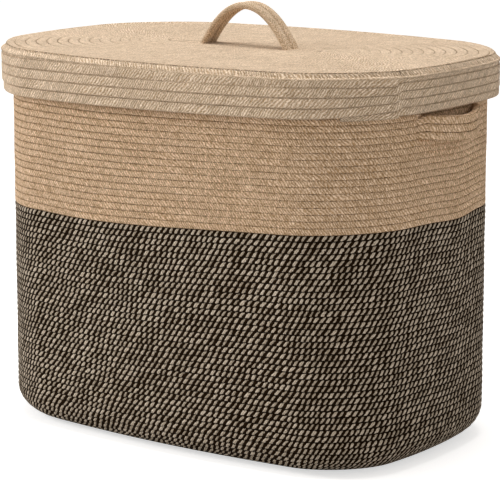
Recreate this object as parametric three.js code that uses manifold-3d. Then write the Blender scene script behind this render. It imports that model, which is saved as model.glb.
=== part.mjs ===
// A lidded blanket basket, sewn from coiled cotton rope: a two-tone rope makes the base and the lower
// wall, a tan rope the upper wall with its two hand holds, and a thicker tan rope the lid.
// The rope of the basket is one continuous spiral. It starts in the middle of the base, coils outwards,
// turns up round the foot and climbs the wall like a helix, and three of its courses swing out of the
// wall at both ends to make the hand holds. The lid is coiled the same way, from its middle outwards
// and down its skirt.
// Units are millimetres. +X runs along the length, the front is -Y, and the base stands on Z = 0.

import * as THREE from 'three';
import * as BufferGeometryUtils from 'three/addons/utils/BufferGeometryUtils.js';
import Module from 'manifold-3d';

// Plan of the basket at its rim: a rounded rectangle whose sides belly outwards
const HALF_LENGTH = 252;
const HALF_WIDTH = 157;
const RIM_CORNER_RADIUS = 87;
const RIM_SIDE_BELLY = 29;
const END_BELLY = 18;

// The foot is drawn in a little, has tighter corners and flatter long sides
const FOOT_DRAW_IN = 2.6;
const FOOT_CORNER_RADIUS = 73;
const FOOT_SIDE_BELLY = 18;
const FOOT_ROUNDING = 34;

// Ropes, and how deep the groove between two sewn courses is
const TWO_TONE_ROPE = 6.6;
const TAN_ROPE = 7.3;
const BODY_GROOVE = 1.3;
const LID_ROPE = 10.5;
const LID_GROOVE = 1.5;
const ROPE_END_GAP = 0.3;

// Heights on the wall
const RIM_HEIGHT = 421.2;
const COLOUR_CHANGE_HEIGHT = 252;
const COURSE_LEAN = 6.5; // at mid height the courses lie this much higher at the +X end than halfway

// Hand holds: three courses that swing out of the wall at both ends
const HOLD_BELOW_RIM = 50.2; // from the rim down to the hold's upper edge
const HOLD_COURSES = 3;
const HOLD_REACH = 22;
const HOLD_HALF_SPAN = 72;
const HOLD_PULL = 0.15; // share of the reach that the course below the hold is pulled out by
const HOLD_PULL_COURSES = 3;

// Lid
const LID_SEAT_GAP = 0.3;
const LID_SIDE_CLEARANCE = 1.5;
const LID_SKIRT_DEPTH = 39.3; // how far the skirt reaches down from the rim
const LID_SHOULDER = 12;
const LID_SKIRT_COURSES = 5;
const LID_STEP_LENGTH = 14; // length over which the lid's rope climbs from one course to the next

// Lid handle: two cords side by side, through the lid and sewn flat under it
const GRIP_CORD = 8.4;
const GRIP_CORD_GAP = 0.4;
const GRIP_HALF_SPAN = 60;
const GRIP_RISE = 46; // of the cords' centres over the lid
const GRIP_ROUNDNESS = 2.1;
const GRIP_BEND = 9;
const GRIP_TAIL = 20;
const GRIP_CLEARANCE = 0.35;

// How finely the forms are faceted
const CORNER_STEPS = 4;
const LONG_SIDE_STEPS = 4;
const SHORT_SIDE_STEPS = 3;
const HOLD_STEPS = 16;
const COURSES_PER_RING = 4; // on a coil's plain face
const MIDDLE_RING_COURSES = 3; // from the middle of a flat coil to the first ring of its plain face
const ARCH_STEPS = 12;
const BEND_STEPS = 3;
const CORD_STEPS = 32;
const CORD_SIDES = 8;

const QUARTER = Math.PI / 2;
const mix = THREE.MathUtils.lerp;
const clamp = THREE.MathUtils.clamp;

// Plan outlines

// The eight stretches of an outline, counter-clockwise from the +X end, and the signs of x and y in
// the corner that each one is or starts from
const STRETCHES = [
  { name: 'right end', corner: [1, -1] },
  { name: 'back right corner', corner: [1, 1] },
  { name: 'back', corner: [1, 1] },
  { name: 'back left corner', corner: [-1, 1] },
  { name: 'left end', corner: [-1, 1] },
  { name: 'front left corner', corner: [-1, -1] },
  { name: 'front', corner: [-1, -1] },
  { name: 'front right corner', corner: [1, -1] },
];
const stretchNamed = (name) => STRETCHES.findIndex((stretch) => stretch.name === name);
const RIGHT_END = stretchNamed('right end');
const BACK = stretchNamed('back');
const LEFT_END = stretchNamed('left end');

function stretchSteps(shortSideSteps) {
  const side = [shortSideSteps, CORNER_STEPS, LONG_SIDE_STEPS, CORNER_STEPS];
  return [...side, ...side];
}

// The columns of a coil, once round from the start of the given stretch. A column is a place on the
// outline: a stretch, and how far along it. extra adds one column after that length of the first stretch.
function columnsFrom(firstStretch, shortSideSteps = SHORT_SIDE_STEPS, extra = 0) {
  const steps = stretchSteps(shortSideSteps);
  const columns = [];
  for (let turn = 0; turn < steps.length; turn++) {
    const stretch = (firstStretch + turn) % steps.length;
    for (let i = 0; i < steps[stretch]; i++) {
      columns.push({ stretch, along: i / steps[stretch] });
      if (extra > 0 && columns.length === 1) {
        columns.push({ stretch, along: extra / (2 * (HALF_WIDTH - RIM_CORNER_RADIUS)) });
      }
    }
  }
  return columns;
}

// The point of a column on the outline that lies inset inside the basket's own outline at a height,
// or outside it where inset is negative.
function outlinePoint(column, inset, height) {
  const share = clamp(height / RIM_HEIGHT, 0, 1);
  const drawIn = FOOT_DRAW_IN * (1 - share);
  const fullLength = HALF_LENGTH - drawIn;
  const fullWidth = HALF_WIDTH - drawIn;
  const fullRadius = mix(FOOT_CORNER_RADIUS, RIM_CORNER_RADIUS, share);
  const shrink = inset > 0 ? Math.max(0, 1 - inset / fullWidth) : 1;
  const radius = inset > 0 ? fullRadius * shrink : fullRadius - inset;
  const a = fullLength - inset;
  const b = Math.max(0, fullWidth - inset);
  const [sx, sy] = STRETCHES[column.stretch].corner;
  const corner = new THREE.Vector2(sx * (a - radius), sy * (b - radius));
  const point = new THREE.Vector2();
  if (column.stretch % 2 === 1) {
    const angle = ((column.stretch - 1) / 2 + column.along) * QUARTER;
    point.set(corner.x + radius * Math.cos(angle), corner.y + radius * Math.sin(angle));
  } else if (column.stretch % 4 === 0) {
    point.set(sx * a, corner.y * (1 - 2 * column.along));
  } else {
    point.set(corner.x * (1 - 2 * column.along), sy * b);
  }
  if (b > 0) {
    const sideBelly = mix(FOOT_SIDE_BELLY, RIM_SIDE_BELLY, share) * shrink;
    const endBelly = END_BELLY * shrink;
    const { x, y } = point;
    point.y += Math.sign(y) * sideBelly * Math.cos((x / a) * QUARTER) * (y / b) ** 2;
    point.x += Math.sign(x) * endBelly * Math.cos((y / b) * QUARTER) * (x / a) ** 2;
  }
  return point;
}

// Each column's share of the way round, by length along the rim, so that a rope climbs evenly
function climbEvenly(columns) {
  const points = columns.map((column) => outlinePoint(column, 0, RIM_HEIGHT));
  const lengths = points.map((point, i) => point.distanceTo(points[(i + 1) % points.length]));
  const total = lengths.reduce((sum, length) => sum + length, 0);
  let travelled = 0;
  return [...lengths.map((length) => {
    const share = travelled / total;
    travelled += length;
    return share;
  }), 1];
}

// The place where a stretch's rope begins, a gap's width after the end of the rope before it
function ropeStart(columns) {
  const [first, second] = columns;
  const step = outlinePoint(first, 0, RIM_HEIGHT).distanceTo(outlinePoint(second, 0, RIM_HEIGHT));
  const along = first.along + ((second.along - first.along) * ROPE_END_GAP) / step;
  return { stretch: first.stretch, along };
}

// A rope that runs level and climbs a whole course in the first step
function climbAtOnce(columns) {
  return [0, ...columns.map(() => 1)];
}

// Surfaces that the coils lie on. Each takes the length s along its section, from where the flat part
// ends, and the depth under its outer face, and gives an inset and a height. The basket's also gives
// the height of the outer face there, which the plan outline goes by.

function bodySection(s, depth) {
  const r = FOOT_ROUNDING;
  const arc = r * QUARTER;
  if (s < 0) {
    return { inset: r - s, height: depth, outerHeight: 0 };
  }
  if (s < arc) {
    const outerHeight = r * (1 - Math.cos(s / r));
    const inset = r - (r - depth) * Math.sin(s / r);
    return { inset, height: r - (r - depth) * Math.cos(s / r), outerHeight };
  }
  return { inset: depth, height: r + s - arc, outerHeight: r + s - arc };
}

const LID_UNDERSIDE = RIM_HEIGHT + LID_SEAT_GAP;
const LID_TOP = LID_UNDERSIDE + LID_ROPE;
const LID_OVERHANG = LID_SIDE_CLEARANCE + LID_ROPE;

function lidSection(s, depth) {
  const r = LID_SHOULDER;
  const arc = r * QUARTER;
  if (s < 0) {
    return { inset: r - s - LID_OVERHANG, height: LID_TOP - depth };
  }
  if (s < arc) {
    const reach = r - depth;
    return {
      inset: r - LID_OVERHANG - reach * Math.sin(s / r),
      height: LID_TOP - r + reach * Math.cos(s / r),
    };
  }
  return { inset: depth - LID_OVERHANG, height: LID_TOP - r - (s - arc) };
}

// How far the courses stand out of the wall at a place: the whole reach in the hold itself
function holdSwing(column, share) {
  if (share === 0 || (column.stretch !== RIGHT_END && column.stretch !== LEFT_END)) {
    return 0;
  }
  const y = outlinePoint(column, 0, RIM_HEIGHT - HOLD_BELOW_RIM).y;
  const across = Math.min(1, Math.abs(y) / HOLD_HALF_SPAN);
  return HOLD_REACH * share * (1 - across ** 3);
}

function bodyPoint(column, s, depth, swingShare = 0) {
  const { inset, height, outerHeight } = bodySection(s, depth);
  const swing = holdSwing(column, swingShare);
  const { x, y } = outlinePoint(column, inset - swing, outerHeight);
  const upTheWall = clamp(outerHeight / RIM_HEIGHT, 0, 1);
  const lean = COURSE_LEAN * (x / HALF_LENGTH) * Math.sin(Math.PI * upTheWall);
  return new THREE.Vector3(x, y, height + lean);
}

function lidPoint(column, s, depth) {
  const { inset, height } = lidSection(s, depth);
  const { x, y } = outlinePoint(column, inset, RIM_HEIGHT);
  return new THREE.Vector3(x, y, height);
}

// Coils as closed solids

// Collects triangles and welds equal corners. turned reverses every triangle.
class Skin {
  constructor(turned) {
    this.turned = turned;
    this.positions = [];
    this.indices = [];
    this.seen = new Map();
  }

  vertex(point) {
    const key = point.toArray().map((value) => Math.round(value * 1e4)).join();
    if (!this.seen.has(key)) {
      this.seen.set(key, this.positions.length / 3);
      this.positions.push(point.x, point.y, point.z);
    }
    return this.seen.get(key);
  }

  triangle(a, b, c) {
    if (a !== b && b !== c && c !== a) {
      this.indices.push(...(this.turned ? [a, c, b] : [a, b, c]));
    }
  }

  quad(a, b, c, d) {
    this.triangle(a, b, c);
    this.triangle(a, c, d);
  }

  geometry() {
    const geometry = new THREE.BufferGeometry();
    geometry.setAttribute('position', new THREE.Float32BufferAttribute(this.positions, 3));
    geometry.setIndex(this.indices);
    geometry.computeVertexNormals();
    return geometry;
  }
}

// A stretch of a coil. The along function gives the length s that the rope's lower edge has reached
// after a number of turns, and the stretch is as many courses wide as it says. One face shows the
// courses as ridges, with their grooves and crests at the two ridge depths, and the other face is
// plain, with a ring of points at each of the levels. The point function gives a place from a column,
// a length s and a depth.
// A coil that starts in the middle has no inner edge, and closes over its first turn. A tapered rope
// end fills the notch that the rope's climb leaves in the edge, and a blunt one shows its end face.
function coil(options) {
  const { columns, climb, along, courses, ridge, plain, levels, point, fromMiddle } = options;
  const skin = new Skin(options.turned);
  const round = columns.length;
  const last = 2 * courses;
  const place = (row, j, depth) => {
    const column = j === 0 && row < 2 ? ropeStart(columns) : columns[j % round];
    return skin.vertex(point(column, along(row / 2 + climb[j]), depth));
  };
  const ridged = (row, j) => place(row, j, row % 2 === 0 ? ridge.groove : ridge.crest);
  const rings = levels.map((s) => columns.map((column) => skin.vertex(point(column, s, plain))));

  for (let j = 0; j < round; j++) {
    for (let row = 0; row < last; row++) {
      skin.quad(ridged(row, j), ridged(row, j + 1), ridged(row + 1, j + 1), ridged(row + 1, j));
    }
    for (let i = 0; i + 1 < rings.length; i++) {
      const next = (j + 1) % round;
      skin.quad(rings[i + 1][j], rings[i + 1][next], rings[i][next], rings[i][j]);
    }
  }

  const high = (j) => place(last, j, plain);
  const topRing = rings[rings.length - 1];
  for (let j = 0; j < round; j++) {
    const next = topRing[(j + 1) % round];
    if (j > 0 || !options.taperedEnd) {
      skin.quad(ridged(last, j), ridged(last, j + 1), high(j + 1), high(j));
    }
    if (j < round - 1) {
      skin.quad(high(j), high(j + 1), next, topRing[j]);
    } else {
      skin.triangle(high(j), high(0), topRing[j]);
      skin.triangle(high(0), next, topRing[j]);
      skin.triangle(high(j), high(round), high(0));
    }
  }
  if (options.taperedEnd) {
    skin.quad(ridged(last, 0), ridged(last, 1), ridged(last + 2, 0), ridged(last + 1, 0));
    skin.triangle(high(1), high(0), high(round));
    skin.quad(ridged(last + 2, 0), ridged(last, 1), high(1), high(round));
  } else {
    skin.triangle(high(0), ridged(last + 1, 0), ridged(last, 0));
    skin.triangle(high(0), high(round), ridged(last + 1, 0));
    skin.triangle(high(round), ridged(last + 2, 0), ridged(last + 1, 0));
  }

  if (fromMiddle) {
    const middle = (j, depth) => skin.vertex(point(columns[j % round], fromMiddle, depth));
    closeMiddle(skin, round, ridged, rings[0], middle, ridge.crest, plain);
    return skin.geometry();
  }

  const low = (j) => place(0, j, plain);
  for (let j = 0; j < round; j++) {
    const next = rings[0][(j + 1) % round];
    skin.quad(ridged(0, j + 1), ridged(0, j), low(j), low(j + 1));
    if (j > 0) {
      skin.quad(low(j + 1), low(j), rings[0][j], next);
    } else {
      skin.triangle(low(1), low(0), low(round));
      skin.triangle(low(1), low(round), next);
      skin.triangle(next, low(round), rings[0][0]);
    }
  }
  skin.triangle(low(0), ridged(0, 0), ridged(1, 0));
  skin.triangle(low(0), ridged(1, 0), low(round));
  skin.triangle(ridged(1, 0), ridged(2, 0), low(round));
  return skin.geometry();
}

// Closes a coil over the short line in its middle that the first turn is folded round
function closeMiddle(skin, round, ridged, innerRing, middle, crest, plain) {
  for (let j = 0; j < round; j++) {
    skin.quad(middle(j, crest), middle(j + 1, crest), ridged(0, j + 1), ridged(0, j));
    skin.quad(innerRing[j], innerRing[(j + 1) % round], middle(j + 1, plain), middle(j, plain));
  }
  skin.triangle(middle(0, crest), ridged(0, 0), ridged(1, 0));
  skin.triangle(middle(0, crest), ridged(1, 0), ridged(2, 0));
}

// Even levels strictly between two lengths along a section, as many as a plain face of those courses needs
function levelsBetween(from, to, courses) {
  const count = Math.round(courses / COURSES_PER_RING);
  return Array.from({ length: count }, (_, i) => from + ((to - from) * (i + 1)) / (count + 1));
}

// The basket: one spiral, cut into named stretches

const LOWER_LENGTH = FOOT_ROUNDING * QUARTER + COLOUR_CHANGE_HEIGHT - FOOT_ROUNDING;
const LOWER_COURSES = Math.round(LOWER_LENGTH / TWO_TONE_ROPE);
const LOWER_PITCH = LOWER_LENGTH / LOWER_COURSES;
const UPPER_LENGTH = RIM_HEIGHT - COLOUR_CHANGE_HEIGHT;
const UPPER_COURSES = Math.round(UPPER_LENGTH / TAN_ROPE);
const UPPER_PITCH = UPPER_LENGTH / UPPER_COURSES;
const WALL_COURSES = LOWER_COURSES + UPPER_COURSES;
const HOLD_TOP_COURSE = WALL_COURSES - Math.round(HOLD_BELOW_RIM / UPPER_PITCH);
const HOLD_FIRST_COURSE = HOLD_TOP_COURSE - HOLD_COURSES;

// The length up the wall that the spiral has reached after a number of turns from the foot
function wallAlong(turns) {
  const upper = turns - LOWER_COURSES;
  return LOWER_LENGTH + upper * (upper < 0 ? LOWER_PITCH : UPPER_PITCH);
}

const wallColumns = columnsFrom(BACK);
const wallClimb = climbEvenly(wallColumns);
const holdColumns = columnsFrom(BACK, HOLD_STEPS);
const holdClimb = climbEvenly(holdColumns);
const outsideRidge = { crest: 0, groove: BODY_GROOVE };
const insideRidge = { crest: TWO_TONE_ROPE, groove: TWO_TONE_ROPE - BODY_GROOVE };

// The share of the hold's swing that a course below it takes, fading out over a few courses
function pullBelowHold(s) {
  const below = (wallAlong(HOLD_FIRST_COURSE) - s) / (HOLD_PULL_COURSES * UPPER_PITCH);
  return HOLD_PULL * clamp(1 - below, 0, 1) ** 2;
}

function wallStretch(firstCourse, endCourse, rope, options = {}) {
  const columns = options.columns ?? wallColumns;
  const swingShare = options.swingShare ?? (() => 0);
  const courses = endCourse - firstCourse;
  const along = (turns) => wallAlong(firstCourse + turns) + ROPE_END_GAP * (1 / 2 - turns / courses);
  return coil({
    columns,
    climb: options.climb ?? wallClimb,
    along,
    courses,
    ridge: outsideRidge,
    plain: rope,
    levels: levelsBetween(along(1), along(courses), courses),
    point: (column, s, depth) => bodyPoint(column, s, depth, swingShare(s)),
    turned: false,
  });
}

function baseCoil() {
  const middle = -(HALF_WIDTH - FOOT_DRAW_IN - FOOT_ROUNDING);
  const start = middle + TWO_TONE_ROPE / 2;
  const sideSpan = (-start * (HALF_WIDTH + FOOT_SIDE_BELLY)) / HALF_WIDTH;
  const courses = Math.round(sideSpan / TWO_TONE_ROPE);
  const pitch = (-start - ROPE_END_GAP / 2) / courses;
  return coil({
    columns: wallColumns,
    climb: wallClimb,
    along: (turns) => start + pitch * turns,
    courses,
    ridge: insideRidge,
    plain: 0,
    levels: levelsBetween(middle + MIDDLE_RING_COURSES * TWO_TONE_ROPE, -ROPE_END_GAP, courses),
    point: bodyPoint,
    fromMiddle: middle,
    turned: true,
  });
}

// The lid: the same way of coiling, on a flat top with a rounded shoulder and a skirt

const LID_ARC = LID_SHOULDER * QUARTER;
const LID_EDGE = LID_ARC + LID_UNDERSIDE + LID_ROPE - LID_SHOULDER - (RIM_HEIGHT - LID_SKIRT_DEPTH);
const SKIRT_START = LID_EDGE - LID_SKIRT_COURSES * LID_ROPE;
const lidColumns = columnsFrom(RIGHT_END, SHORT_SIDE_STEPS, LID_STEP_LENGTH);
const lidClimb = climbAtOnce(lidColumns);
const lidRidge = { crest: 0, groove: LID_GROOVE };

function lidSkirtCoil() {
  const courses = LID_SKIRT_COURSES - 1;
  const start = SKIRT_START + ROPE_END_GAP / 2;
  const pitch = (LID_EDGE - start) / LID_SKIRT_COURSES;
  return coil({
    columns: lidColumns,
    climb: lidClimb,
    along: (turns) => start + pitch * turns,
    courses,
    ridge: lidRidge,
    plain: LID_ROPE,
    levels: levelsBetween(start + pitch, start + courses * pitch, courses),
    point: lidPoint,
    taperedEnd: true,
    turned: true,
  });
}

function lidTopCoil() {
  const middle = -(HALF_WIDTH + LID_OVERHANG - LID_SHOULDER);
  const start = middle + LID_ROPE / 2;
  const sideSpan = ((SKIRT_START - start) * (HALF_WIDTH + RIM_SIDE_BELLY)) / HALF_WIDTH;
  const courses = Math.round(sideSpan / LID_ROPE) - 1;
  const pitch = (SKIRT_START - ROPE_END_GAP / 2 - start) / courses;
  return coil({
    columns: lidColumns,
    climb: lidClimb,
    along: (turns) => start + pitch * turns,
    courses,
    ridge: lidRidge,
    plain: LID_ROPE,
    levels: [middle + MIDDLE_RING_COURSES * LID_ROPE, -ROPE_END_GAP],
    point: lidPoint,
    fromMiddle: middle,
    turned: true,
  });
}

// The lid's handle

// One half of the route, from the top of the arch to the end of the tail, x outwards and z upwards
function gripHalfRoute() {
  const points = [];
  for (let i = 0; i <= ARCH_STEPS; i++) {
    const share = Math.sin((QUARTER * i) / ARCH_STEPS);
    points.push([GRIP_HALF_SPAN * share, LID_TOP + GRIP_RISE * (1 - share ** GRIP_ROUNDNESS)]);
  }
  const slope = Math.atan((GRIP_RISE * GRIP_ROUNDNESS) / GRIP_HALF_SPAN);
  const tailHeight = LID_UNDERSIDE - GRIP_CLEARANCE - GRIP_CORD / 2;
  const bendStart = tailHeight + GRIP_BEND * (1 - Math.cos(slope));
  const bendX = GRIP_HALF_SPAN + (LID_TOP - bendStart) / Math.tan(slope);
  const bendCentreX = bendX + GRIP_BEND * Math.sin(slope);
  for (let i = 0; i <= BEND_STEPS; i++) {
    const angle = slope * (1 - i / BEND_STEPS);
    points.push([
      bendCentreX - GRIP_BEND * Math.sin(angle),
      tailHeight + GRIP_BEND * (1 - Math.cos(angle)),
    ]);
  }
  points.push([bendCentreX + GRIP_TAIL, tailHeight]);
  return points;
}

function gripCord(radius) {
  const half = gripHalfRoute();
  const left = half.slice(1).reverse().map(([x, z]) => new THREE.Vector3(-x, 0, z));
  const right = half.map(([x, z]) => new THREE.Vector3(x, 0, z));
  const route = new THREE.CatmullRomCurve3([...left, ...right], false, 'centripetal');
  const section = new THREE.Shape();
  for (let i = 0; i < CORD_SIDES; i++) {
    const angle = ((i + 0.5) / CORD_SIDES) * 2 * Math.PI;
    const reach = radius / Math.cos(Math.PI / CORD_SIDES);
    section[i === 0 ? 'moveTo' : 'lineTo'](reach * Math.cos(angle), reach * Math.sin(angle));
  }
  section.closePath();
  return new THREE.ExtrudeGeometry(section, { steps: CORD_STEPS, extrudePath: route });
}

const GRIP_CORD_OFFSET = (GRIP_CORD + GRIP_CORD_GAP) / 2;

// Booleans

const wasm = await Module();
wasm.setup();

function toSolid(geometry) {
  const bare = geometry.clone();
  bare.deleteAttribute('normal');
  bare.deleteAttribute('uv');
  const welded = BufferGeometryUtils.mergeVertices(bare, 1e-4);
  return new wasm.Manifold(new wasm.Mesh({
    numProp: 3,
    vertProperties: new Float32Array(welded.attributes.position.array),
    triVerts: new Uint32Array(welded.index.array),
  }));
}

function toGeometry(solid) {
  const mesh = solid.getMesh();
  const geometry = new THREE.BufferGeometry();
  geometry.setAttribute('position', new THREE.BufferAttribute(mesh.vertProperties, 3));
  geometry.setIndex(new THREE.BufferAttribute(mesh.triVerts, 1));
  geometry.computeVertexNormals();
  return geometry;
}

// The lid's top, with the two slots that the handle's cords pass through
function slottedLidTop() {
  const cutter = toSolid(gripCord(GRIP_CORD / 2 + GRIP_CLEARANCE));
  let top = toSolid(lidTopCoil());
  for (const side of [-1, 1]) {
    top = top.subtract(cutter.translate([0, side * GRIP_CORD_OFFSET, 0]));
  }
  return toGeometry(top);
}

// Materials

const twoToneRope = new THREE.MeshStandardMaterial({ color: 0x6b6052, roughness: 0.95, metalness: 0 });
const tanRope = new THREE.MeshStandardMaterial({ color: 0xc2a27e, roughness: 0.92, metalness: 0 });
const lidRope = new THREE.MeshStandardMaterial({ color: 0xcdb08c, roughness: 0.92, metalness: 0 });

function named(name, geometry, material) {
  const mesh = new THREE.Mesh(geometry, material);
  mesh.name = name;
  return mesh;
}

const basket = new THREE.Group();
basket.add(
  named('base_coil', baseCoil(), twoToneRope),
  named('lower_wall_coil', wallStretch(0, LOWER_COURSES, TWO_TONE_ROPE), twoToneRope),
  named('upper_wall_coil', wallStretch(LOWER_COURSES, HOLD_FIRST_COURSE, TAN_ROPE, {
    swingShare: pullBelowHold,
  }), tanRope),
  named('hand_hold_coil', wallStretch(HOLD_FIRST_COURSE, HOLD_TOP_COURSE, TAN_ROPE, {
    columns: holdColumns,
    climb: holdClimb,
    swingShare: () => 1,
  }), tanRope),
  named('rim_coil', wallStretch(HOLD_TOP_COURSE, WALL_COURSES - 1, TAN_ROPE), tanRope),
);

const lid = new THREE.Group();
lid.add(
  named('lid_top_coil', slottedLidTop(), lidRope),
  named('lid_skirt_coil', lidSkirtCoil(), lidRope),
);
for (const [name, side] of [['lid_handle_front_cord', -1], ['lid_handle_back_cord', 1]]) {
  const cord = named(name, gripCord(GRIP_CORD / 2), lidRope);
  cord.position.y = side * GRIP_CORD_OFFSET;
  lid.add(cord);
}

const blanketBasket = new THREE.Group();
blanketBasket.add(basket, lid);

export default blanketBasket;
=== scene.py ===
# %% [markdown]
# # A lidded blanket basket of coiled rope
# The real basket is sewn from a few very long cotton ropes. A two-tone twisted rope makes the base and the
# lower wall, a tan braided rope the upper wall and the two hand holds, and a thicker braided rope the lid,
# whose strap is two short cords.
# Each rope is modelled as one long spiral path with a rope's section swept along it, because that is how the
# basket is made: the grooves, the slow climb and the steps of the lid then come by themselves.

import bpy
import bmesh
import math
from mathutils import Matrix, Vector
from mathutils import noise


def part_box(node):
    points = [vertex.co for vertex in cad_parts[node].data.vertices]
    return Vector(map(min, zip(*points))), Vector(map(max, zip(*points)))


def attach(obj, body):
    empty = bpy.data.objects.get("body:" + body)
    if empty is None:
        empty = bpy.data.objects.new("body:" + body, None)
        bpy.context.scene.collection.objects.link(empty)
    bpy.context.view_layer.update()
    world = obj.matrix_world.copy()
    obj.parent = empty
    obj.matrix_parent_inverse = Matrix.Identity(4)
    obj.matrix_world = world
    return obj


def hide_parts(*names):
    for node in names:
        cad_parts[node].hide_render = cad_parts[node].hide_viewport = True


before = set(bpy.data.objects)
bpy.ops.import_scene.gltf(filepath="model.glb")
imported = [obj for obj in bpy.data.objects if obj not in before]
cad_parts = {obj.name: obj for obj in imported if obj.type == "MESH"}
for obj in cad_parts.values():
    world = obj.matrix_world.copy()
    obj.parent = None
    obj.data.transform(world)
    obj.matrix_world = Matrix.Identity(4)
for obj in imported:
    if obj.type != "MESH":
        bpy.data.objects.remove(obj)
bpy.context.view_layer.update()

# %% [markdown]
# ## The camera
# The photograph looks at the basket's near right corner from a little above, from far away with a long lens.
# A camera that aims at a point is placed by its angle round the object, its height angle and its distance.

# %% Camera
AIM = Vector((0.0002, 0.0003, 0.204))
CAMERA_AROUND = math.radians(36.25)
CAMERA_UP = math.radians(11.36)
CAMERA_DISTANCE = 2.651
LENS = 167.2
OPTICAL_CENTRE = (246.2, 244.55)  # pixel in the 500 by 488 photograph
PHOTO_WIDTH = 500
PHOTO_HEIGHT = 488

away = Vector((
    math.sin(CAMERA_AROUND) * math.cos(CAMERA_UP),
    -math.cos(CAMERA_AROUND) * math.cos(CAMERA_UP),
    math.sin(CAMERA_UP),
))
camera_data = bpy.data.cameras.new("photo_camera")
camera_data.lens = LENS
camera_data.sensor_fit = "HORIZONTAL"
camera_data.shift_x = (PHOTO_WIDTH / 2 - OPTICAL_CENTRE[0]) / PHOTO_WIDTH
camera_data.shift_y = (OPTICAL_CENTRE[1] - PHOTO_HEIGHT / 2) / PHOTO_WIDTH
camera = bpy.data.objects.new("photo_camera", camera_data)
camera.location = AIM + CAMERA_DISTANCE * away
camera.rotation_euler = away.to_track_quat("Z", "Y").to_euler()
bpy.context.scene.collection.objects.link(camera)
bpy.context.scene.camera = camera
print("camera at", [round(value, 3) for value in camera.location])

# %% [markdown]
# ## The plan of the basket
# Seen from above the basket is a rounded rectangle whose four sides belly outwards. The foot is drawn in and
# flatter. A place on that outline is a stretch, counted from the +X end counter-clockwise, and how far along
# it lies. The same outline, moved in or out, carries the base, the wall, the lid and its skirt.

# %% Sizes of the plan
HALF_LENGTH = 0.252
HALF_WIDTH = 0.157
RIM_CORNER_RADIUS = 0.087
RIM_SIDE_BELLY = 0.029  # how far a long side bulges at the rim
END_BELLY = 0.018
FOOT_DRAW_IN = 0.0026
FOOT_CORNER_RADIUS = 0.073
FOOT_SIDE_BELLY = 0.018
FOOT_ROUNDING = 0.034  # radius of the turn from the base into the wall
MIDDLE_ROUNDNESS = 0.97  # corner radius close to the middle, as a share of the half width there
ROUNDING_POWER = 1.5  # how late the outline rounds off on its way to the middle
COURSE_LEAN = 0.0065  # halfway up, courses stand this much higher at the right-hand end than in the middle
SEAM_GAP = 0.0003
LID_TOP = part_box("lid_top_coil")[1][2]
LID_ROPE = 0.0105
RIM_HEIGHT = LID_TOP - LID_ROPE - SEAM_GAP
QUARTER = math.pi / 2
RIGHT_END = 0
BACK = 2
LEFT_END = 4
FRONT_RIGHT_CORNER = 7
CORNER_SIGNS = [(1, -1), (1, 1), (1, 1), (-1, 1), (-1, 1), (-1, -1), (-1, -1), (1, -1)]
STRETCHES = len(CORNER_SIGNS)  # the even ones are sides and the odd ones are corners
print("rim at", round(RIM_HEIGHT, 4))


# %% Outline
def mix(low, high, share):
    return low + (high - low) * share


def outline_point(place, inset, height):
    stretch, along = place
    share = min(1, max(0, height / RIM_HEIGHT))
    draw_in = FOOT_DRAW_IN * (1 - share)
    full_length = HALF_LENGTH - draw_in
    full_width = HALF_WIDTH - draw_in
    full_radius = mix(FOOT_CORNER_RADIUS, RIM_CORNER_RADIUS, share)
    shrink = max(0, 1 - inset / full_width) if inset > 0 else 1
    reach_x = full_length - inset
    reach_y = max(0, full_width - inset)
    roundness = mix(full_radius / full_width, MIDDLE_ROUNDNESS, (1 - shrink) ** ROUNDING_POWER)
    radius = reach_y * roundness if inset > 0 else full_radius - inset
    sign_x, sign_y = CORNER_SIGNS[stretch]
    corner_x = sign_x * (reach_x - radius)
    corner_y = sign_y * (reach_y - radius)
    if stretch % 2 == 1:
        angle = ((stretch - 1) / 2 + along) * QUARTER
        x = corner_x + radius * math.cos(angle)
        y = corner_y + radius * math.sin(angle)
    elif stretch % 4 == 0:
        x = sign_x * reach_x
        y = corner_y * (1 - 2 * along)
    else:
        x = corner_x * (1 - 2 * along)
        y = sign_y * reach_y
    if reach_y == 0:
        return x, y
    end_belly = END_BELLY * shrink * math.cos(y / reach_y * QUARTER)
    side_belly = mix(FOOT_SIDE_BELLY, RIM_SIDE_BELLY, share) * shrink * math.cos(x / reach_x * QUARTER)
    bellied_x = x + math.copysign(end_belly * (x / reach_x) ** 2, x)
    bellied_y = y + math.copysign(side_belly * (y / reach_y) ** 2, y)
    return bellied_x, bellied_y


# %% Places once round, from a given place, each with its share of the way
ARC_OVER_CHORD = 1.11
MARK_DIGITS = 5  # places are compared by marks rounded to this
WALL_SPACING = 0.008


def places_round(first_stretch, spacing, first_mark=0.0, end_spacing=None, entry=()):
    places = []
    for turn in range(STRETCHES):
        stretch = (first_stretch + turn) % STRETCHES
        start = outline_point((stretch, 0), 0, RIM_HEIGHT)
        end = outline_point((stretch, 1), 0, RIM_HEIGHT)
        length = math.dist(start, end) * (ARC_OVER_CHORD if stretch % 2 else 1)
        apart = end_spacing if end_spacing and stretch in (RIGHT_END, LEFT_END) else spacing
        count = max(2, round(length / apart))
        marks = {round(i / count, MARK_DIGITS) for i in range(count)}
        if turn == 0:
            marks |= {round(first_mark + extra, MARK_DIGITS) for extra in (0, *entry)}
        places.extend((stretch, mark) for mark in sorted(marks))
    first_place = (first_stretch, round(first_mark, MARK_DIGITS))
    skipped = sum(place[0] == first_stretch and place < first_place for place in places)
    places = places[skipped:] + places[:skipped]
    points = [outline_point(place, 0, RIM_HEIGHT) for place in places]
    lengths = [math.dist(point, after) for point, after in zip(points, points[1:] + points[:1])]
    total = sum(lengths)
    shares = [sum(lengths[:i]) / total for i in range(len(points))]
    return list(zip(places, shares)), total


wall_round, wall_girth = places_round(BACK, WALL_SPACING)
print(len(wall_round), "places round the wall,", round(wall_girth, 3), "m")

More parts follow.
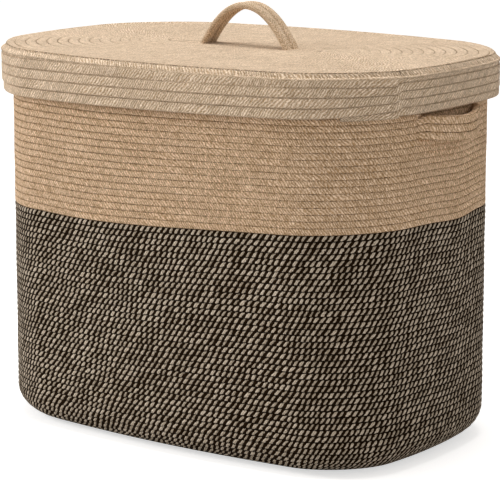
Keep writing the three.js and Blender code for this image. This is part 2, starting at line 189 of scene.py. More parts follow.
# %% [markdown]
# ## Sections of the basket and the lid
# Along its section the basket runs flat under the base, turns up round the foot and then climbs. The lid
# runs flat and turns down over its shoulder. Both are given by the length s along the section, counted from
# where the flat part ends, and by how deep a point lies under the outer face. The tilt says which way the
# outer face looks there: 0 is outwards, a quarter turn is straight down or, on the lid, straight up.


# %% Section of the basket
def basket_section(s, depth):
    arc = FOOT_ROUNDING * QUARTER
    if s < 0:
        return FOOT_ROUNDING - s, depth, 0, QUARTER
    if s < arc:
        turn = s / FOOT_ROUNDING
        inset = FOOT_ROUNDING - (FOOT_ROUNDING - depth) * math.sin(turn)
        height = FOOT_ROUNDING - (FOOT_ROUNDING - depth) * math.cos(turn)
        return inset, height, FOOT_ROUNDING * (1 - math.cos(turn)), QUARTER - turn
    climb = FOOT_ROUNDING + s - arc
    return depth, climb, climb, 0


# %% Section of the lid
LID_SHOULDER = 0.012
LID_OVERHANG = LID_SHOULDER  # the skirt stands this far out past the wall
LID_ROLL = 0.0010  # how far the lowest course rolls inwards
LID_ROLL_START = 0.040  # along the section


def lid_section(s, depth):
    arc = LID_SHOULDER * QUARTER
    if s < 0:
        return LID_SHOULDER - s - LID_OVERHANG, LID_TOP - depth, -QUARTER
    if s < arc:
        turn = s / LID_SHOULDER
        reach = LID_SHOULDER - depth
        inset = LID_SHOULDER - LID_OVERHANG - reach * math.sin(turn)
        return inset, LID_TOP - LID_SHOULDER + reach * math.cos(turn), turn - QUARTER
    rolled = max(0, s - LID_ROLL_START) / LID_ROPE
    return depth - LID_OVERHANG + LID_ROLL * rolled**2, LID_TOP - LID_SHOULDER - (s - arc), 0


# %% [markdown]
# ## The hand holds
# At both ends three courses leave the wall and swing outwards, so that fingers fit behind them, and the
# courses just below are pulled out a little with them. They could be loops of their own, but on the real
# basket they are the wall's rope, so here they are stretches of the same helix. Each place at an end has a
# share, which is nothing where a hold begins and 1 in its middle, and the holds' sizes are multiplied by it.

# %% Shape of the hand holds
HOLD_BELOW_RIM = 0.0502
HOLD_REACH = 0.021
HOLD_HALF_SPAN = 0.060
HOLD_STEEPNESS = 4  # a hold has its full height and fullness wherever it is over a quarter of the way out
HOLD_SAG = 0.0055
HOLD_FAN = 0.0045  # the upper edge of a hold stands this much higher
HOLD_ROUNDER = 0.13  # and its rope, free of the wall, is this much fuller
HOLD_DROOP = 0.0045  # the courses above a hold hang down by up to this much
HOLD_DROOP_COURSES = 3


def hold_share(place):
    if place[0] not in (RIGHT_END, LEFT_END):
        return 0
    across = outline_point(place, 0, RIM_HEIGHT - HOLD_BELOW_RIM)[1] / HOLD_HALF_SPAN
    return max(0, 1 - across**2)


def full_share(held):
    return min(1, HOLD_STEEPNESS * held)


# %% [markdown]
# ## Paths of the ropes
# A sewn rope is never quite even, so each path wanders by a fraction of a millimetre. The wander comes from
# smooth noise at the place itself, so neighbouring courses wander together and stay side by side.

# %% Wander of a hand-sewn rope
WANDER = 0.00045
WANDER_LENGTH = 0.07
WANDER_RISE = 2.2  # it changes this much faster up the wall than along it
WANDER_START = Vector((3, 0, 0))  # where in the noise it starts
SIDE_SAG = 0.0038  # courses hang this much lower between the corners
LONG_SIDE_SKEW = 0.6  # under 1 the lowest place is nearer to the start of the side, over 1 to its end
END_SKEW = 1.6


def wander(x, y, z):
    return WANDER * noise.noise(Vector((x, y, z * WANDER_RISE)) / WANDER_LENGTH + WANDER_START)


# %% Points on the basket and on the lid, each with the tilt of its section
def side_sag(place):
    stretch, along = place
    if stretch % 2 == 1:
        return 0
    skew = END_SKEW if stretch in (RIGHT_END, LEFT_END) else LONG_SIDE_SKEW
    return SIDE_SAG * math.sin(math.pi * along**skew) ** 2


def basket_point(place, s, depth, pull=0.0, fan=0.0):
    inset, height, outer_height, tilt = basket_section(s, depth)
    held = hold_share(place)
    x, y = outline_point(place, inset - HOLD_REACH * held * pull, outer_height)
    height += HOLD_FAN * fan * full_share(held) - HOLD_SAG * held * pull
    up_the_wall = min(1, outer_height / RIM_HEIGHT)
    lean = (COURSE_LEAN * x / HALF_LENGTH - side_sag(place)) * math.sin(math.pi * up_the_wall)
    if tilt == 0:
        push = 1 + wander(x, y, height) / math.hypot(x, y)
        x *= push
        y *= push
    return (x, y, height + lean), tilt


def lid_point(place, s, depth):
    inset, height, tilt = lid_section(s, depth)
    x, y = outline_point(place, inset, RIM_HEIGHT)
    return (x, y, height), tilt


# %% A rope's section: a circle pressed flat where courses touch
SQUEEZE = 1.06  # a section is this many times as high as its course, so that courses press together


# Where a rope meets the next course, as a share of the way round it from its outer face
def groove_place(squareness):
    return math.asin((1 / SQUEEZE) ** (squareness / 2)) / (2 * math.pi)


def pressed_section(name, thickness, pitch, sides, squareness):
    section = bpy.data.curves.new(name, "CURVE")
    section.dimensions = "2D"
    spline = section.splines.new("POLY")
    spline.points.add(sides - 1)
    for i, point in enumerate(spline.points):
        angle = 2 * math.pi * i / sides
        across = math.copysign(abs(math.cos(angle)) ** (2 / squareness), math.cos(angle))
        along = math.copysign(abs(math.sin(angle)) ** (2 / squareness), math.sin(angle))
        point.co = (thickness / 2 * across, pitch / 2 * along, 0, 1)
    spline.use_cyclic_u = True
    return bpy.data.objects.new(name, section)


# %% [markdown]
# ## Sweeping a rope
# Blender sweeps one outline along a route with a curve's bevel object. The Z-up twist keeps the pressed
# sides of the section level, and the tilt of each point turns it round the foot and over the shoulder. The
# mesh that comes out is a row of rings, so the rope's own UV map follows from the ring's number: u is the
# length along the rope in metres, and v goes once round it, starting from the outer face.

# %% Rings along a route
def swept_mesh(name, stations, section, scales=None):
    route = bpy.data.curves.new(name, "CURVE")
    route.dimensions = "3D"
    route.twist_mode = "Z_UP"
    route.bevel_mode = "OBJECT"
    route.bevel_object = section
    spline = route.splines.new("POLY")
    spline.points.add(len(stations) - 1)
    spline.points.foreach_set("co", [value for point, tilt in stations for value in (*point, 1)])
    spline.points.foreach_set("tilt", [tilt for point, tilt in stations])
    if scales:
        spline.points.foreach_set("radius", scales)
    carrier = bpy.data.objects.new(name + "_route", route)
    bpy.context.scene.collection.objects.link(carrier)
    bpy.context.view_layer.update()
    swept = carrier.evaluated_get(bpy.context.evaluated_depsgraph_get())
    mesh = bpy.data.meshes.new_from_object(swept)
    bpy.data.objects.remove(carrier)
    bpy.data.curves.remove(route)
    mesh.name = name
    return mesh


# %% Rounder corners where the lid's courses turn over its shoulder, so that their grooves stay open
CORNER_ROUNDING = 0.14  # a corner moves in by up to this share of its way to the rope's middle
CORNER_SHARES = (0.14, 0.21, 0.79, 0.86)  # of the way round the section, from its outer face


def round_over_bends(mesh, stations, sides):
    corners = [round(sides * share) for share in CORNER_SHARES]
    for ring, (centre, tilt) in enumerate(stations):
        rounding = CORNER_ROUNDING * max(0, math.sin(-2 * tilt))
        for corner in corners:
            point = mesh.vertices[ring * sides + corner]
            if point.co.xy.length > math.hypot(centre[0], centre[1]):
                point.co = point.co.lerp(Vector(centre), rounding)


# %% Closed ends, smooth sides and the rope's UV map
def finish_rope_mesh(mesh, travelled, sides):
    shape = bmesh.new()
    shape.from_mesh(mesh)
    ends = [edge for edge in shape.edges if edge.is_boundary]
    bmesh.ops.holes_fill(shape, edges=ends, sides=sides)
    bmesh.ops.recalc_face_normals(shape, faces=shape.faces)
    layer = shape.loops.layers.uv.new("rope")
    for face in shape.faces:
        corners = [loop.vert.index % sides for loop in face.loops]
        crosses_seam = len(corners) == 4 and 0 in corners and sides - 1 in corners
        face.smooth = len(corners) == 4
        for loop, corner in zip(face.loops, corners):
            around = sides if crosses_seam and corner == 0 else corner
            loop[layer].uv = (travelled[loop.vert.index // sides], around / sides)
    shape.to_mesh(mesh)
    shape.free()


# %% One rope as a piece of the basket
def make_rope(name, stations, travelled, section, sides, scales=None):
    mesh = swept_mesh(name, stations, section, scales)
    if len(mesh.vertices) != len(stations) * sides:
        raise ValueError(f"{name} has {len(mesh.vertices)} points for {len(stations)} rings")
    round_over_bends(mesh, stations, sides)
    finish_rope_mesh(mesh, travelled, sides)
    rope = bpy.data.objects.new(name, mesh)
    bpy.context.scene.collection.objects.link(rope)
    triangles = sum(len(face.vertices) - 2 for face in mesh.polygons)
    print(f"{name}: {travelled[-1] - travelled[0]:.2f} m of rope, {triangles} triangles")
    return rope


# %% Turns of a coil, from one number of turns to another
SHORTEST_STEP = 0.001


def coil_stations(places, girth, first_turn, end_turn, centre_at, from_place=None):
    stations = []
    travelled = []
    started = from_place is None
    for turn in range(first_turn, end_turn):
        for place, share in places:
            started = started or place == from_place
            if not started:
                continue
            station = centre_at(place, turn, share)
            if stations and math.dist(station[0], stations[-1][0]) < SHORTEST_STEP:
                continue
            stations.append(station)
            travelled.append((turn + share) * girth)
    stations.append(centre_at(places[0][0], end_turn, 0))
    travelled.append(end_turn * girth)
    return stations, travelled


# %% [markdown]
# ## The wall: lower, upper, hand holds and rim
# The wall is one helix. The two-tone rope is a little thinner than the tan one, so the helix climbs in two
# rates, and each stretch of rope takes up where the one below it ends.

# %% Courses of the wall
TWO_TONE_ROPE = 0.0066
TAN_ROPE = 0.0073
COLOUR_CHANGE_HEIGHT = 0.252
HOLD_COURSES = 3
HOLD_PULL = 0.15  # the courses under a hold are pulled out by up to this share of its reach
HOLD_PULL_COURSES = 3
HOLD_SPACING = 0.005
SECTION_SIDES = 10
TWO_TONE_SQUARENESS = 3.2
TAN_SQUARENESS = 7.0
RIM_TAIL = 0.06
RIM_TAIL_END = 0.4  # the thinness of the rope at its end

lower_length = FOOT_ROUNDING * QUARTER + COLOUR_CHANGE_HEIGHT - FOOT_ROUNDING
lower_courses = round(lower_length / TWO_TONE_ROPE)
lower_pitch = lower_length / lower_courses
upper_length = RIM_HEIGHT - COLOUR_CHANGE_HEIGHT
upper_courses = round(upper_length / TAN_ROPE)
upper_pitch = upper_length / upper_courses
wall_courses = lower_courses + upper_courses
hold_top_course = wall_courses - round(HOLD_BELOW_RIM / upper_pitch)
hold_first_course = hold_top_course - HOLD_COURSES
print("courses:", lower_courses, "two-tone,", upper_courses, "tan, hold", hold_first_course, hold_top_course)


def wall_along(turns):
    upper = turns - lower_courses
    return lower_length + upper * (lower_pitch if upper < 0 else upper_pitch)


# %% The pull on a course at the holds: a share of their reach, and a share of their fan
def pull_below_hold(s):
    below = (wall_along(hold_first_course) - s) / (HOLD_PULL_COURSES * upper_pitch)
    return HOLD_PULL * min(1, max(0, 1 - below)) ** 2, 0


def pull_of_hold(s):
    up_the_hold = (s - wall_along(hold_first_course)) / (HOLD_COURSES * upper_pitch)
    return 1, up_the_hold


def droop_above_hold(s):
    above = (s - wall_along(hold_top_course)) / upper_pitch - 0.5
    return 0, -HOLD_DROOP / HOLD_FAN * max(0, 1 - above / HOLD_DROOP_COURSES)


def no_pull(s):
    return 0, 0


# %% Wall ropes
two_tone_section = pressed_section(
    "two_tone_section", TWO_TONE_ROPE, lower_pitch * SQUEEZE, SECTION_SIDES, TWO_TONE_SQUARENESS
)
tan_section = pressed_section(
    "tan_section", TAN_ROPE, upper_pitch * SQUEEZE, SECTION_SIDES, TAN_SQUARENESS
)


def wall_centre(rope, pulled):
    def centre(place, turn, share):
        s = (wall_along(turn + share) + wall_along(turn + share + 1)) / 2
        return basket_point(place, s, rope / 2, *pulled(s))

    return centre


def wall_rope(name, first, end, rope, section, pulled, places=wall_round, fuller=None, tail=0.0):
    stations, travelled = coil_stations(places, wall_girth, first, end, wall_centre(rope, pulled))
    scales = [fuller(places[i % len(places)][0]) if fuller else 1 for i in range(len(stations))]
    for i, length in enumerate(travelled):
        left = travelled[-1] - length
        if left < tail:
            thinned = mix(RIM_TAIL_END, 1, left / tail)
            scales[i] *= thinned
            (x, y, z), tilt = stations[i]
            stations[i] = (x, y, z - (1 - thinned) * upper_pitch / 2), tilt
    return make_rope(name, stations, travelled, section, SECTION_SIDES, scales)


def fuller_in_hold(place):
    return 1 + HOLD_ROUNDER * full_share(hold_share(place))


lower_wall = wall_rope("lower_wall_rope", 0, lower_courses, TWO_TONE_ROPE, two_tone_section, no_pull)
upper_wall = wall_rope(
    "upper_wall_rope", lower_courses, hold_first_course, TAN_ROPE, tan_section, pull_below_hold
)
hold_round = places_round(BACK, WALL_SPACING, end_spacing=HOLD_SPACING)[0]
hand_holds = wall_rope(
    "hand_hold_rope", hold_first_course, hold_top_course, TAN_ROPE, tan_section, pull_of_hold,
    places=hold_round, fuller=fuller_in_hold,
)
rim = wall_rope(
    "rim_rope", hold_top_course, wall_courses - 1, TAN_ROPE, tan_section, droop_above_hold,
    fuller=fuller_in_hold, tail=RIM_TAIL,
)

# %% [markdown]
# ## The base
# The base starts as a straight length of rope in the middle. The rope turns back beside itself and goes
# round and round until it reaches the foot. The inner turns step outwards in one short stretch, so that no
# gap opens beside the straight length, and the outer ones all the way round.


# %% Lengths along a path, from its start
def lengths_along(points):
    travelled = [0.0]
    for point, after in zip(points, points[1:]):
        travelled.append(travelled[-1] + math.dist(point, after))
    return travelled


# %% The first length of a flat coil, with its turn into the back side
RUN_REACH = 0.45  # of the rope's thickness: the straight length starts this much further out than it ends
RUN_SPACING = 0.006
BEND_STEPS = 8


def middle_start(first_station, rope, drift):
    (x, y, z), tilt = first_station
    radius = (y + drift) / 2
    way = math.copysign(1, x)
    start = -(x + way * RUN_REACH * rope)
    count = round(abs(x - start) / RUN_SPACING)
    run = [(mix(start, x, i / count), -drift * i / count, z) for i in range(count)]
    bend = []
    for i in range(BEND_STEPS):
        angle = math.pi * i / BEND_STEPS - QUARTER
        bend.append((x + way * radius * math.cos(angle), y - radius + radius * math.sin(angle), z))
    return [(point, tilt) for point in run + bend]


def flat_coil(name, stations, rope, section, sides, drift=0.0):
    stations = middle_start(stations[0], rope, drift) + stations
    travelled = lengths_along([point for point, tilt in stations])
    return make_rope(name, stations, travelled, section, sides)


# %% Base rope
BASE_SPACING = 0.013
BASE_SQUEEZE = 1.12
BASE_STEP_START = 0.8  # of the way round, where the first turn steps outwards
base_middle = -(HALF_WIDTH - FOOT_DRAW_IN - FOOT_ROUNDING)
base_start = base_middle + TWO_TONE_ROPE / 2
base_courses = round(-base_start * (HALF_WIDTH + FOOT_SIDE_BELLY) / HALF_WIDTH / TWO_TONE_ROPE)
base_pitch = -base_start / base_courses
base_round = places_round(BACK, BASE_SPACING)[0]


def base_climb(turn, share):
    stepped = min(1, max(0, share - BASE_STEP_START) / (1 - BASE_STEP_START))
    return mix(stepped, share, turn / (base_courses - 1))


def base_centre(place, turn, share):
    s = base_start + base_pitch * (turn + base_climb(turn, share) + 0.5)
    return basket_point(place, s, TWO_TONE_ROPE / 2)


base_section = pressed_section(
    "base_section", TWO_TONE_ROPE, base_pitch * BASE_SQUEEZE, SECTION_SIDES, TWO_TONE_SQUARENESS
)
base_stations = coil_stations(base_round, wall_girth, 0, base_courses, base_centre)[0]
base = flat_coil("base_rope", base_stations, TWO_TONE_ROPE, base_section, SECTION_SIDES)

# %% [markdown]
# ## The lid
# The lid's rope is thicker, and coils the other way round. It starts in the middle of the top and turns down
# over the shoulder. The sewing was looser along the front than round the right-hand end, so near the front
# right corner each course steps down, and the rope's thinned tail is tucked under the front edge there. On
# the lid the way round is counted from that step, over the front, the left end and the back.

# %% Courses of the lid
LID_SPACING = 0.010
LID_SIDES = 14
LID_SQUARENESS = 6.0
LID_TOP_SQUEEZE = 1.28  # on the top, where the courses lie further apart
LID_SKIRT_DEPTH = 0.0393
LID_SKIRT_TURNS = 5
LID_SHOULDER_LINE = 0.0472  # above the edge, along the section
LID_STEP_PLACE = 0.83  # along the front right corner
LID_STEP_LENGTH = 0.008
LID_STEP_MARKS = 6
lid_edge = LID_SHOULDER * QUARTER + LID_TOP - LID_SHOULDER - (RIM_HEIGHT - LID_SKIRT_DEPTH)
shoulder_line = lid_edge - LID_SHOULDER_LINE
step_mark = LID_STEP_LENGTH / LID_STEP_MARKS / (RIM_CORNER_RADIUS * QUARTER)
step_entry = [-i * step_mark for i in range(1, LID_STEP_MARKS + 1)]
left_round, lid_girth = places_round(FRONT_RIGHT_CORNER, LID_SPACING, LID_STEP_PLACE, entry=step_entry)
lid_round = left_round[:1] + [(place, 1 - share) for place, share in reversed(left_round[1:])]
skirt_outline = pressed_section("lid_section", LID_ROPE, LID_ROPE * SQUEEZE, LID_SIDES, LID_SQUARENESS)
top_outline = pressed_section(
    "lid_top_section", LID_ROPE, LID_ROPE * LID_TOP_SQUEEZE, LID_SIDES, LID_SQUARENESS
)
print(len(lid_round), "places round the lid,", round(lid_girth, 3), "m")

# %% Climb and step of the lid's courses, by shares of the way round from the step
LID_CLIMB_START = 0.05
LID_CLIMB_END = 0.5
LID_LOOSENED = 0.06
LID_TIGHTENING_START = 0.27
LID_TIGHTENING_END = 0.72
LID_TAIL = 0.042
LID_TAIL_END = 0.35  # the thinness of the rope at its end
LID_LOOSE_COURSE = 0.0109
LID_TIGHT_COURSE = 0.0085
LID_STEP_DROP = 0.42  # of a course


def smooth(share):
    share = min(1, max(0, share))
    return share * share * (3 - 2 * share)


def climb(share):
    return min(1, max(0, (share - LID_CLIMB_START) / (LID_CLIMB_END - LID_CLIMB_START)))


def step_down(share):
    stepped = smooth(share * lid_girth / LID_STEP_LENGTH)
    return LID_STEP_DROP * stepped * (1 - smooth(share / LID_LOOSENED))


def course_height(share):
    tightening = (share - LID_TIGHTENING_START) / (LID_TIGHTENING_END - LID_TIGHTENING_START)
    tight = max(1 - smooth(share / LID_LOOSENED), smooth(tightening))
    return mix(LID_LOOSE_COURSE, LID_TIGHT_COURSE, tight)


# %% Lid top rope
LID_COURSES_LEFT_OUT = 2  # with fewer courses than would fit, the top's lie a little apart
LID_RUN_DRIFT = 0.0031  # the straight length makes room for the climb of the first turn
LID_START = (BACK + 1, 0.0)  # where the first turn begins
lid_middle = -(HALF_WIDTH + LID_OVERHANG - LID_SHOULDER)
top_start = lid_middle + LID_ROPE / 2
top_span = (shoulder_line - top_start) * (HALF_WIDTH + RIM_SIDE_BELLY) / HALF_WIDTH
top_courses = round(top_span / LID_ROPE) - LID_COURSES_LEFT_OUT
top_pitch = (shoulder_line - top_start) / (top_courses + 1)


def lid_top_centre(place, turn, share):
    inwards = top_courses - turn - climb(share) + 0.5
    return lid_point(place, shoulder_line - top_pitch * inwards, LID_ROPE / 2)


top_stations = coil_stations(lid_round, lid_girth, -1, top_courses, lid_top_centre, LID_START)[0]
lid_top = flat_coil("lid_top_rope", top_stations, LID_ROPE, top_outline, LID_SIDES, LID_RUN_DRIFT)

# %% Lid skirt rope
ROUND_OFF = 1e-9  # so that a whole turn isn't read as just under one


def course_edge(turn, share):
    if turn == 0:
        return shoulder_line - top_pitch * (1 - climb(share))
    courses = turn - 1 + climb(share)
    if turn > 1:
        courses += step_down(share)
    return shoulder_line + course_height(share) * courses


def skirt_course(turn, share):
    upper = course_edge(turn, share)
    if turn == LID_SKIRT_TURNS:
        return upper, course_height(share) * mix(1, LID_TAIL_END, share / LID_TAIL)
    return upper, course_edge(turn + 1, share) - upper


def skirt_centre(place, turn, share):
    upper, height = skirt_course(turn, share)
    return lid_point(place, upper + height / 2, height / 2)


stations, travelled = coil_stations(lid_round, lid_girth, 0, LID_SKIRT_TURNS, skirt_centre)
for place, share in lid_round[1:]:
    if share < LID_TAIL:
        stations.append(skirt_centre(place, LID_SKIRT_TURNS, share))
        travelled.append((LID_SKIRT_TURNS + share) * lid_girth)
scales = []
for length in travelled:
    turn, share = divmod(length / lid_girth + ROUND_OFF, 1)
    scales.append(skirt_course(turn, share)[1] / LID_ROPE)
lid_skirt = make_rope("lid_skirt_rope", stations, travelled, skirt_outline, LID_SIDES, scales)

# %% [markdown]
# ## The strap
# The lid is lifted by two cords, sewn side by side. They arch over the lid, go through it on both sides and
# are sewn flat under it. The arch is a power curve, a little rounder than a parabola, and each cord is swept
# along it as the ropes are, from a flatter section.

# %% Route of the strap
GRIP_CORD = 0.0082
GRIP_CORD_WIDTH = 0.0124
GRIP_CORD_GAP = 0.0004
GRIP_HALF_SPAN = 0.0575
GRIP_SHIFT = 0.0044  # towards the right-hand end
GRIP_RISE = 0.0455
GRIP_ROUNDNESS = 2.1
GRIP_BEND = 0.009  # radius of the bend under the lid
GRIP_TAIL = 0.020
GRIP_CLEARANCE = 0.00035
ARCH_STEPS = 26


def grip_half_route():
    route = []
    for i in range(ARCH_STEPS + 1):
        share = math.sin(QUARTER * i / ARCH_STEPS)
        route.append((GRIP_HALF_SPAN * share, LID_TOP + GRIP_RISE * (1 - share**GRIP_ROUNDNESS)))
    slope = math.atan(GRIP_RISE * GRIP_ROUNDNESS / GRIP_HALF_SPAN)
    tail_height = LID_TOP - LID_ROPE - GRIP_CLEARANCE - GRIP_CORD / 2
    bend_start = tail_height + GRIP_BEND * (1 - math.cos(slope))
    bend_x = GRIP_HALF_SPAN + (LID_TOP - bend_start) / math.tan(slope)
    bend_centre = bend_x + GRIP_BEND * math.sin(slope)
    for i in range(BEND_STEPS + 1):
        angle = slope * (1 - i / BEND_STEPS)
        x = bend_centre - GRIP_BEND * math.sin(angle)
        route.append((x, tail_height + GRIP_BEND * (1 - math.cos(angle))))
    route.append((bend_centre + GRIP_TAIL, tail_height))
    return route


# %% Strap cords
CORD_SIDES = 12
CORD_SQUARENESS = 2.3
cord_section = pressed_section("cord_section", GRIP_CORD_WIDTH, GRIP_CORD, CORD_SIDES, CORD_SQUARENESS)
half_route = grip_half_route()


def strap_cord(name, y):
    points = [(GRIP_SHIFT - x, y, z) for x, z in reversed(half_route[1:])]
    points += [(GRIP_SHIFT + x, y, z) for x, z in half_route]
    stations = [(point, 0.0) for point in points]
    return make_rope(name, stations, lengths_along(points), cord_section, CORD_SIDES)


strap_offset = (GRIP_CORD_WIDTH + GRIP_CORD_GAP) / 2
strap_front = strap_cord("strap_front_cord", -strap_offset)
strap_back = strap_cord("strap_back_cord", strap_offset)


# %% [markdown]
# ## Materials
# The ropes share a few kinds of detail, each at its own scale: strands that twist or braid, the zigzag
# stitches beside the grooves of a braided rope, and the soft uneven shade of cotton. Strands modelled one by
# one would take millions of faces, so each kind is a node group. Strands and stitches follow the rope's own
# UV map, so they run along it round every bend, and patches and flecks follow the place on the basket.

# %% Short ways to add nodes
def new_group(name, inputs, outputs):
    tree = bpy.data.node_groups.new(name, "ShaderNodeTree")
    for label, kind, default in inputs:
        socket = tree.interface.new_socket(label, in_out="INPUT", socket_type=kind)
        socket.default_value = default
    for label, kind in outputs:
        tree.interface.new_socket(label, in_out="OUTPUT", socket_type=kind)
    return tree, tree.nodes.new("NodeGroupInput").outputs, tree.nodes.new("NodeGroupOutput").inputs


def add_node(tree, kind, inputs, **settings):
    node = tree.nodes.new(kind)
    for name, value in settings.items():
        setattr(node, name, value)
    for name, value in inputs.items():
        socket = node.inputs[name]
        if isinstance(value, bpy.types.NodeSocket):
            tree.links.new(value, socket)
        else:
            socket.default_value = value
    return node


def calculate(tree, operation, *values):
    return add_node(tree, "ShaderNodeMath", dict(enumerate(values)), operation=operation).outputs[0]


def scaled(tree, value, factor):
    return calculate(tree, "MULTIPLY", value, factor)


def centred(tree, value):
    return calculate(tree, "SUBTRACT", value, 0.5)


def whole(tree, value):
    return calculate(tree, "FLOOR", value)


def from_middle(tree, value):
    return calculate(tree, "ABSOLUTE", centred(tree, calculate(tree, "FRACT", value)))


def smooth_step(tree, value, start, end):
    inputs = {"Value": value, "From Min": start, "From Max": end}
    return add_node(tree, "ShaderNodeMapRange", inputs, interpolation_type="SMOOTHSTEP").outputs[0]


# A Mix node has its colours on the sockets 6 and 7, and its mixed colour on the output 2
def mix_colours(tree, share, first, second):
    return add_node(tree, "ShaderNodeMix", {0: share, 6: first, 7: second}, data_type="RGBA").outputs[2]


# %% Places along a rope, and noise from minus a half to a half
def rope_length_and_round(tree):
    rope_uv = add_node(tree, "ShaderNodeUVMap", {}, uv_map="rope").outputs[0]
    parts = add_node(tree, "ShaderNodeSeparateXYZ", {"Vector": rope_uv}).outputs
    return parts[0], parts[1]


def noise_value(tree, scale, detail, roughness=0.5):
    place = tree.nodes.new("ShaderNodeTexCoord").outputs["Object"]
    inputs = {"Vector": place, "Scale": scale, "Detail": detail, "Roughness": roughness}
    return centred(tree, add_node(tree, "ShaderNodeTexNoise", inputs).outputs[0])


def own_drift(tree, rope_length, scale, amount):
    inputs = {"W": rope_length, "Scale": scale, "Detail": 1.0}
    slow = add_node(tree, "ShaderNodeTexNoise", inputs, noise_dimensions="1D").outputs[0]
    return scaled(tree, centred(tree, slow), amount)


def shade_of_strand(tree, first, second=0.0):
    strand = add_node(tree, "ShaderNodeCombineXYZ", {"X": first, "Y": second}).outputs[0]
    return add_node(tree, "ShaderNodeTexWhiteNoise", {"Vector": strand}, noise_dimensions="2D").outputs[0]


# %% [markdown]
# ## The twist of the two-tone rope
# This rope is twisted from tan and near-black strands, so its face shows a row of slanted lozenges. They are
# counted along the rope, slant with the way round it, and are pinched in towards the grooves, where the
# strands dive under and where the dark strand's colour then also stands in as painted shade in the grooves.
# Noise frays their edges, and each has its own width and shade.

# %% Twisted strands
FLOAT = "NodeSocketFloat"
COLOUR = "NodeSocketColor"
LOZENGE_LENGTH = 0.0074
LOZENGE_SPREAD = 0.4  # of the width, from the narrowest to the widest
STRAND_SLANT = 2.0  # lozenges along the rope for once round it
STRAND_BEND = 0.04  # of a lozenge, as a slight S
PINCH_POWER = 3.0
FRAY = 4.5  # how deep noise eats into a lozenge's edge
YARN_STRIPES = 6.0  # light or dark, in each period
# A tan width under a half leaves more of the dark strand, which also stands in as painted shade between
# strands
twist, given, made = new_group(
    "twisted strands",
    [
        ("Period", FLOAT, LOZENGE_LENGTH),
        ("Tan width", FLOAT, 0.235),
        ("Reach", FLOAT, 0.15),
        ("Unevenness", FLOAT, 0.4),
    ],
    [("Tan", FLOAT), ("Height", FLOAT), ("Yarn", FLOAT), ("Strand shade", FLOAT)],
)
along, around = rope_length_and_round(twist)
uneven = scaled(twist, noise_value(twist, scale=95, detail=3), given["Unevenness"])
uneven = calculate(twist, "ADD", uneven, own_drift(twist, along, scale=10.0, amount=1.8))
turns = calculate(twist, "ADD", calculate(twist, "DIVIDE", along, given["Period"]), uneven)
from_front = centred(twist, calculate(twist, "FRACT", calculate(twist, "ADD", around, 0.5)))
bent = calculate(twist, "SINE", scaled(twist, from_front, 4 * math.pi))
slant = calculate(twist, "MULTIPLY_ADD", bent, STRAND_BEND, scaled(twist, from_front, STRAND_SLANT))
slanted = calculate(twist, "SUBTRACT", turns, slant)
own_shade = shade_of_strand(twist, whole(twist, slanted))
fullness = calculate(twist, "MULTIPLY_ADD", own_shade, LOZENGE_SPREAD, 1 - LOZENGE_SPREAD / 2)
own_width = scaled(twist, given["Tan width"], fullness)
from_tan = from_middle(twist, slanted)
from_dark = calculate(twist, "SUBTRACT", 0.5, from_tan)
# The pinch towards the grooves is partly the strands diving under and partly painted shade in the grooves
to_side = calculate(twist, "DIVIDE", calculate(twist, "PINGPONG", around, 0.25), given["Reach"])
pinch = calculate(twist, "POWER", to_side, PINCH_POWER)
ragged = scaled(twist, noise_value(twist, scale=400, detail=3, roughness=0.8), FRAY)


def lozenge(distance):
    wide = calculate(twist, "POWER", calculate(twist, "DIVIDE", distance, own_width), 2.0)
    return calculate(twist, "ADD", wide, pinch)


frayed = calculate(twist, "ADD", lozenge(from_tan), ragged)
fall = calculate(twist, "MINIMUM", lozenge(from_tan), lozenge(from_dark))
yarns = calculate(twist, "PINGPONG", scaled(twist, slanted, YARN_STRIPES), 1.0)
twist.links.new(smooth_step(twist, frayed, start=1.3, end=0.6), made["Tan"])
twist.links.new(calculate(twist, "SUBTRACT", 1.0, calculate(twist, "MINIMUM", fall, 1.0)), made["Height"])
twist.links.new(yarns, made["Yarn"])
twist.links.new(own_shade, made["Strand shade"])
print("twisted strands:", len(twist.nodes), "nodes")

# %% [markdown]
# ## The braid of the tan ropes
# From a step away a braid is a fine hatch. Its strands show as short slanted picks, which lie in columns
# along the rope, and the slant turns from one column to the next. One column fills the face of a course.

# %% Braided strands
EDGE_HEIGHT = 0.5  # of a pick at a column's edge, as a share of its height in the middle
braid, given, made = new_group(
    "braided strands",
    [
        ("Pick", FLOAT, 0.0024),
        ("Columns", FLOAT, 4.0),
        ("Offset", FLOAT, 0.5),
        ("Slant", FLOAT, 1.0),
        ("Unevenness", FLOAT, 1.5),
    ],
    [("Height", FLOAT), ("Gap", FLOAT), ("Strand shade", FLOAT)],
)
along, around = rope_length_and_round(braid)
across = calculate(braid, "MULTIPLY_ADD", around, given["Columns"], given["Offset"])
chevron = scaled(braid, calculate(braid, "PINGPONG", across, 1.0), given["Slant"])
uneven = scaled(braid, noise_value(braid, scale=210, detail=3), given["Unevenness"])
uneven = calculate(braid, "ADD", uneven, own_drift(braid, along, scale=9.0, amount=10.0))
picks = calculate(braid, "DIVIDE", along, given["Pick"])
picks = calculate(braid, "ADD", picks, calculate(braid, "ADD", chevron, uneven))
ridge = smooth_step(braid, from_middle(braid, picks), start=0.48, end=0.05)
column = smooth_step(braid, from_middle(braid, across), start=0.5, end=0.3)
height = scaled(braid, ridge, calculate(braid, "MULTIPLY_ADD", column, 1 - EDGE_HEIGHT, EDGE_HEIGHT))
braid.links.new(height, made["Height"])
# The gap between picks is darkened by the braided finishes as painted shade
braid.links.new(calculate(braid, "SUBTRACT", 1.0, height), made["Gap"])
braid.links.new(shade_of_strand(braid, whole(braid, picks), whole(braid, across)), made["Strand shade"])
print("braided strands:", len(braid.nodes), "nodes")
